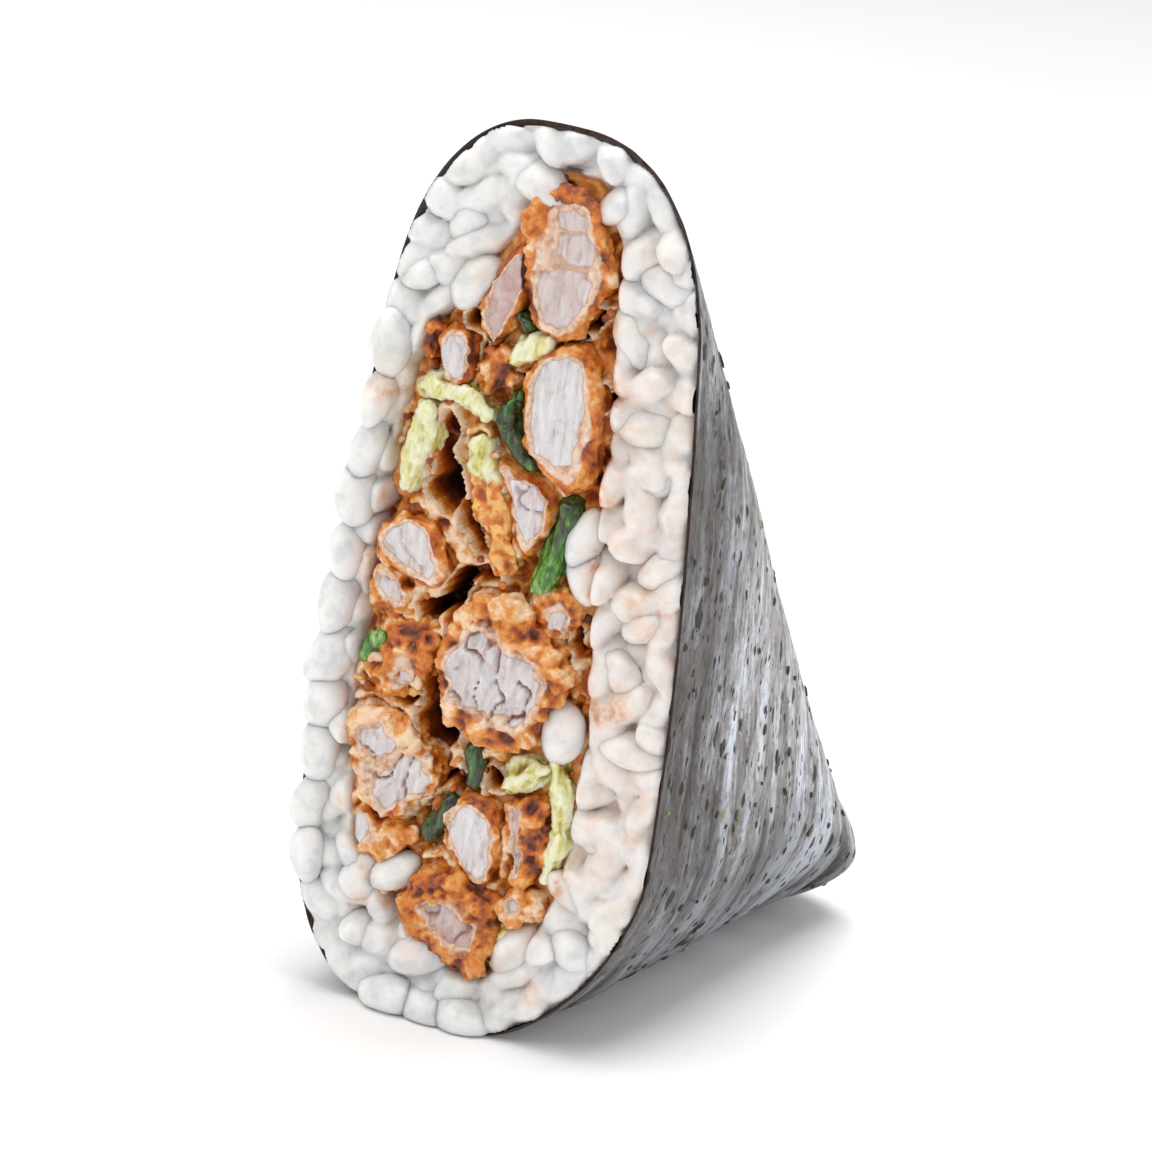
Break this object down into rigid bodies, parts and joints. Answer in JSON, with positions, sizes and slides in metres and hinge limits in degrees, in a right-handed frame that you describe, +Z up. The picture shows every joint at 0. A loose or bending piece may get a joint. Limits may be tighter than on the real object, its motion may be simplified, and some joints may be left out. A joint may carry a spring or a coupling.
{
  "type": "rice ball half",
  "caption": "Half of a triangular rice ball wrapped in dried seaweed, cut open to show a filling of fried chicken, cabbage and spring onion",
  "frame": {"origin": "The middle of the bounding box's underside, on the surface that the base rests on", "axes": "+Z up, +Y from the cut face towards the rear corner, X across the thickness"},
  "size_m": [0.035, 0.0508, 0.075],
  "materials": {
    "seaweed": "satin",
    "rice": "moist satin",
    "filling": "moist gloss",
    "chicken": "moist satin",
    "spring_onion": "moist gloss",
    "cabbage": "moist gloss"
  },
  "bodies": {
    "root": {"seaweed": "seaweed", "rice": "rice", "filling": "filling", "chicken_1": "chicken", "chicken_2": "chicken", "chicken_3": "chicken", "chicken_4": "chicken", "chicken_5": "chicken", "chicken_6": "chicken", "chicken_7": "chicken", "chicken_8": "chicken", "chicken_9": "chicken", "chicken_10": "chicken", "chicken_11": "chicken", "chicken_12": "chicken", "chicken_13": "chicken", "chicken_14": "chicken", "chicken_15": "chicken", "chicken_16": "chicken", "chicken_17": "chicken", "chicken_18": "chicken", "spring_onion_1": "spring_onion", "spring_onion_2": "spring_onion", "spring_onion_3": "spring_onion", "spring_onion_4": "spring_onion", "spring_onion_5": "spring_onion", "spring_onion_6": "spring_onion", "cabbage_1": "cabbage", "cabbage_2": "cabbage", "cabbage_3": "cabbage", "cabbage_4": "cabbage", "cabbage_5": "cabbage", "cabbage_6": "cabbage", "cabbage_7": "cabbage"}
  },
  "joints": []
}
